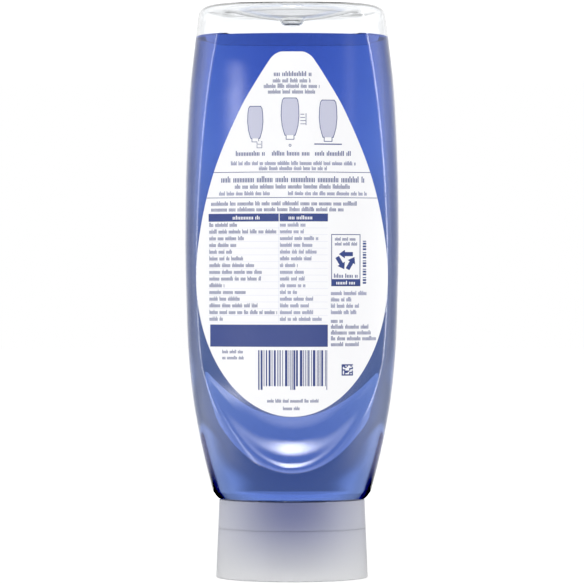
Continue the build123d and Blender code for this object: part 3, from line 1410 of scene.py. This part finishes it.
@dataclass
class FrontPrint:
    """Print of the front label: a plain design of a wave, bubbles and greeked rows. Sizes in millimetres."""

    film: LabelFilm

    def build(self, looks: Materials) -> None:
        """Builds the inks.

        Args:
            looks: The object's materials.
        """
        outline = self.film.outline
        dark = Ink(self.film, 0.15, 11)
        grey = Ink(self.film, 0.135, 12)
        white = Ink(self.film, 0.18, 13)
        inner = outline.half_width - 2.5
        depth = outline.widest - outline.bottom - 3.5

        def crest(x: float) -> float:
            """Height of the wave's edge."""
            return 128.0 + 3.5 * math.sin(x / 7.5)

        def trough(x: float) -> float:
            """Height of the wave's lower edge, which follows the outline."""
            share = min(abs(x) / inner, 1.0)
            return min(outline.widest - depth * math.sqrt(1 - share * share), crest(x))

        grey.strip(-inner, inner, crest, lambda x: crest(x) + 3.0)
        dark.strip(-inner, inner, trough, crest)
        for x, z, size in ((-7.0, 178.0, 2.6), (4.5, 183.0, 1.8), (9.0, 174.0, 3.4), (-12.0, 168.0, 1.9)):
            grey.oval(x, z, size, size)
            white.oval(x - 0.32 * size, z + 0.35 * size, 0.28 * size, 0.22 * size)
        dark.oval(0.0, 152.0, 13.0, 7.0, 2.6)
        white.greeked(-9.0, 9.0, 152.0, 4.2, Weight.BOLD)
        for x0, x1, z in ((-13.0, 13.0, 115.0), (-11.0, 11.0, 110.5), (-6.0, 6.0, 99.0)):
            white.greeked(x0, x1, z, 2.2, Weight.BOLD)
        for ink, tone in ((dark, "dark"), (grey, "grey"), (white, "white")):
            ink.build(f"front_print_{tone}", looks[Look[f"{tone.upper()}_INK"]], "front_label_film")


# ------------------------------------------------------------------------------------------------ Closure


@dataclass
class Closure:
    """Cap, valve, its retainer and the seal: their solids stay, and get their materials."""

    nodes: dict[str, bpy.types.Object]
    dressed: tuple[tuple[str, Look], ...] = (
        ("cap", Look.CAP),
        ("valve", Look.SILICONE),
        ("valve_retainer", Look.RETAINER),
        ("peel_seal", Look.FOIL),
    )

    def dress(self, looks: Materials) -> None:
        """Gives each node its material.

        Args:
            looks: The object's materials.
        """
        for name, look in self.dressed:
            slots = self.nodes[name].data.materials
            slots.clear()
            slots.append(looks[look])


# ------------------------------------------------------------------------------------------------- Studio


@dataclass(frozen=True)
class Streak:
    """A soft bright patch in the surroundings.

    Its azimuth is in degrees from the camera's side, and the rest are components of a direction.
    """

    azimuth: float
    width: float
    low: float
    high: float
    blur: float
    glow: float


@dataclass
class Studio:
    """Pale floor, white surroundings, a soft lamp and the camera, in metres.

    A span is the range of a direction's component over which one brightness turns into the next.
    """

    eye_height: float = 0.1195
    eye_distance: float = 1.010
    lens: float = 148.4
    surround: float = 1.03
    gloss_front: float = 0.2
    gloss_side: float = 2.5
    gloss_back: float = 1.0
    high_white: float = 1.2
    low_white: float = 0.5
    edge_white: float = 0.74
    ceiling_dark: float = 0.5
    # Painted shade: brightness of the floor near the bottle, as seen through it.
    near_floor: float = 0.85
    floor_white: float = 1.06
    floor_cover: float = 0.84
    floor_reach: float = 3.4
    floor_size: float = 8.0
    floor_colour: Colour = (0.86, 0.86, 0.865)
    middle_span: Point = (0.87, 0.985)
    rise_span: Point = (0.045, 0.108)
    ceiling_span: Point = (0.2, 0.5)
    side_span: Point = (-0.78, -0.4)
    near_floor_span: Point = (-0.75, -0.4)
    back_span: Point = (0.0, 0.6)
    streaks: tuple[Streak, ...] = (
        Streak(-26.5, 0.08, -0.5, -0.018, 0.012, 5.2),
        Streak(27.0, 0.05, -0.06, 0.0, 0.02, 0.8),
        Streak(0.0, 0.07, 0.06, 0.15, 0.03, 24.0),
        Streak(0.0, 0.5, 0.09, 0.16, 0.03, 3.0),
        Streak(0.0, 0.5, -0.45, -0.14, 0.06, 2.6),
        Streak(56.0, 0.08, -0.3, 0.5, 0.05, 10.0),
        Streak(-56.0, 0.08, -0.3, 0.1, 0.05, 7.0),
    )

    def world(self) -> None:
        """White surroundings, plain to the eye and as a light, shaded through glass and in reflections."""
        shader = Shader.of_world("surroundings")
        way = shader.axes(shader.node("ShaderNodeTexCoord", {}, {}, "Generated"))
        _, y, z = way

        def background(strength: Term | float) -> Term:
            """White surroundings of a strength."""
            return shader.node("ShaderNodeBackground", {}, {"Color": WHITE, "Strength": strength})

        gloss = background(self.gloss_glow(way))
        plain = background(self.surround)
        behind = self.edge_white + (1.0 - self.edge_white) * y.absolute().ramp(*self.middle_span)
        behind = behind * (self.low_white + (self.high_white - self.low_white) * z.ramp(*self.rise_span))
        behind = behind * (1.0 - self.ceiling_dark * z.ramp(*self.ceiling_span))
        white = background(behind.maximum(shader.ray_is("Camera")))
        lit = shader.mix(shader.ray_is("Glossy"), plain, gloss)
        seen = shader.ray_is("Camera").maximum(shader.ray_is("Transmission"))
        shader.surface(shader.mix(seen, lit, white))

    def gloss_glow(self, way: Way) -> Term:
        """What shows in reflections: dark behind the camera, bright at the sides, and the streaks.

        Args:
            way: The direction.

        Returns:
            The brightness in that direction, where 1 is white.
        """
        _, y, z = way
        side = y.ramp(*self.side_span) * z.ramp(*self.near_floor_span)
        glow = self.gloss_front + (self.gloss_side - self.gloss_front) * side
        glow = glow - (self.gloss_side - self.gloss_back) * y.ramp(*self.back_span)
        for streak in self.streaks:
            glow = glow + self.streak_glow(way, streak)
        return glow

    def streak_glow(self, way: Way, streak: Streak) -> Term:
        """A soft bright patch of the surroundings, seen in reflections alone.

        Args:
            way: The direction.
            streak: The patch.

        Returns:
            Its brightness in that direction.
        """
        x, y, z = way
        turn = math.radians(streak.azimuth)
        aside = x * math.cos(turn) + y * math.sin(turn)
        low = z.ramp(streak.low - streak.blur, streak.low + streak.blur)
        high = z.ramp(streak.high - streak.blur, streak.high + streak.blur)
        return aside.hill(0.0, streak.width) * (low - high) * (1.0 - y.above(0.0)) * streak.glow

    def floor(self) -> None:
        """A wide pale floor that shows white and keeps a faint shadow."""
        start_fresh()
        bpy.ops.mesh.primitive_plane_add(size=self.floor_size)
        floor = bpy.context.object
        floor.name = "floor"
        shader = Shader.of_material("pale_floor")
        seen = shader.ray_is("Camera").maximum(shader.ray_is("Transmission"))
        # Painted shade: seen through the bottle, the floor is darker near and in front of it, turning white far
        # behind it; to the camera it stays white.
        far = shader.axes(shader.place())[1].ramp(0.0, self.floor_reach).maximum(shader.ray_is("Camera"))
        matt = shader.node("ShaderNodeBsdfDiffuse", {}, {"Color": (*self.floor_colour, 1.0)})
        tone = shader.blend(far, (self.near_floor,) * 3, (1.0, 1.0, 1.0))
        white = shader.node("ShaderNodeEmission", {}, {"Color": tone, "Strength": self.floor_white})
        from_bottle = {0: shader.place(), 1: (0.0, 0.0, -self.eye_height)}
        ray = shader.node("ShaderNodeVectorMath", {"operation": "ADD"}, from_bottle)
        way = shader.axes(shader.node("ShaderNodeVectorMath", {"operation": "NORMALIZE"}, {0: ray}))
        gloss = shader.node("ShaderNodeEmission", {}, {"Strength": self.gloss_glow(way)})
        plain = shader.mix(seen * self.floor_cover, matt, white)
        surface = shader.mix(shader.ray_is("Glossy") * (1.0 - seen), plain, gloss)
        floor.data.materials.append(shader.surface(surface))
        floor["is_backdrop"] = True

    def lamp(self, name: str, where: tuple[float, float, float], size: Point, glow: float) -> None:
        """Adds a soft lamp that faces the bottle.

        Args:
            name: Name of the lamp.
            where: Its place.
            size: Its width and height.
            glow: Its brightness, where 1 is white.
        """
        data = bpy.data.lights.new(name, "AREA")
        data.shape = "RECTANGLE"
        data.size, data.size_y = size
        data.energy = glow * math.pi * size[0] * size[1]
        lamp = bpy.data.objects.new(name, data)
        lamp.location = where
        aim = Vector((0.0, 0.0, self.eye_height)) - Vector(where)
        lamp.rotation_euler = aim.to_track_quat("-Z", "Y").to_euler()
        bpy.context.scene.collection.objects.link(lamp)

    def camera(self) -> None:
        """Level camera in front of the back label."""
        data = bpy.data.cameras.new("camera")
        data.lens = self.lens
        data.clip_start = 0.02
        camera = bpy.data.objects.new("camera", data)
        camera.location = (0.0, -self.eye_distance, self.eye_height)
        camera.rotation_euler = (math.pi / 2, 0.0, 0.0)
        bpy.context.scene.collection.objects.link(camera)
        bpy.context.scene.camera = camera

    def build(self) -> None:
        """Sets up the whole studio."""
        bpy.context.scene.view_settings.view_transform = "Standard"
        self.world()
        self.floor()
        self.lamp("overhead", (-0.3, -0.6, 2.2), (2.2, 2.2), 0.9)
        self.camera()


def write_sizes(cad_box: object) -> None:
    """Puts the CAD box and the final box side by side as plain numbers, and keeps neither.

    Args:
        cad_box: The CAD model's box, as it was after loading.
    """

    def plain(box: object) -> list[list[float]]:
        """Turns a box into plain numbers."""
        return [[float(value) for value in corner] for corner in box]

    {"cad": plain(cad_box), "visual": plain(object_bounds())}


def main() -> None:
    """Builds the bottle around its frame, piece by piece."""
    logging.basicConfig(level=logging.INFO, format="%(name)s: %(message)s")
    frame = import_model()
    cad_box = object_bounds()
    low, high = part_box("bottle")
    form = BodyForm(top=high[2] / MM)
    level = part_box("dish_liquid")[1][2] / MM
    looks = {look: look.value.make() for look in Look}
    soap = Liquid(form, level)
    neck = Neck(mouth=low[2] / MM)
    shell = Shell(form, neck, soap.edge_height).build(looks[Look.CLEAR], looks[Look.WETTED])
    LOG.info("%s: %d faces", shell.name, len(shell.data.polygons))
    liquid = soap.build(BlueLiquid(level).make())
    LOG.info("%s: %d faces", liquid.name, len(liquid.data.polygons))
    back = LabelFilm(form, Side.BACK, Egg())
    back.build("back_label", "back_label_film", looks)
    BackPrint(back).build(looks)
    front = LabelFilm(form, Side.FRONT, Oval())
    front.build("front_label", "front_label_film", looks)
    FrontPrint(front).build(looks)
    LOG.info("labels and prints done")
    Closure(frame["nodes"]).dress(looks)
    Studio().build()
    write_sizes(cad_box)


if __name__ == "__main__":
    main()
